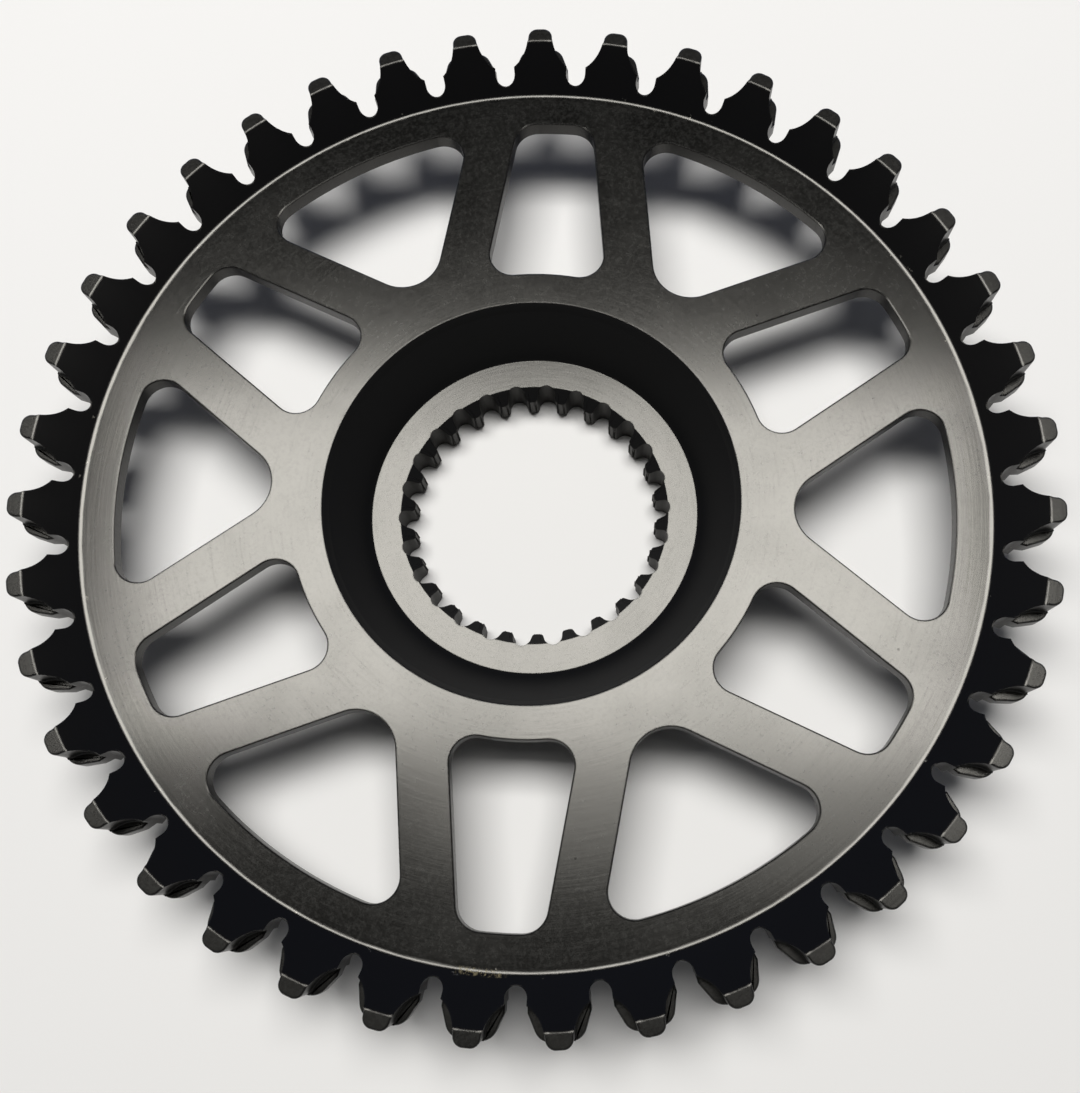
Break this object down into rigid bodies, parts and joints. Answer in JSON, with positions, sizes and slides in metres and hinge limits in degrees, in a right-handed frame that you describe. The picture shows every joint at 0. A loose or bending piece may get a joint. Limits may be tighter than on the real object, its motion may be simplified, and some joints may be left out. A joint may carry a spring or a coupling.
{
  "type": "belt drive sprocket",
  "caption": "Black toothed disc for a bicycle drive belt: belt teeth on a centre flange, spoked web with lightening windows, dished hub and splined bore.",
  "frame": {"origin": "on the axis, in the plane of the hub's back face, which the part lies on", "axes": "+Z along the axis towards the outer face with the recess; +Y through the middle of a tooth and of a pointed window"},
  "size_m": [0.1346, 0.1344, 0.0173],
  "materials": {
    "black_anodised": "satin black anodised, fine turning lines"
  },
  "bodies": {
    "root": {"sprocket": "black_anodised"}
  },
  "joints": []
}
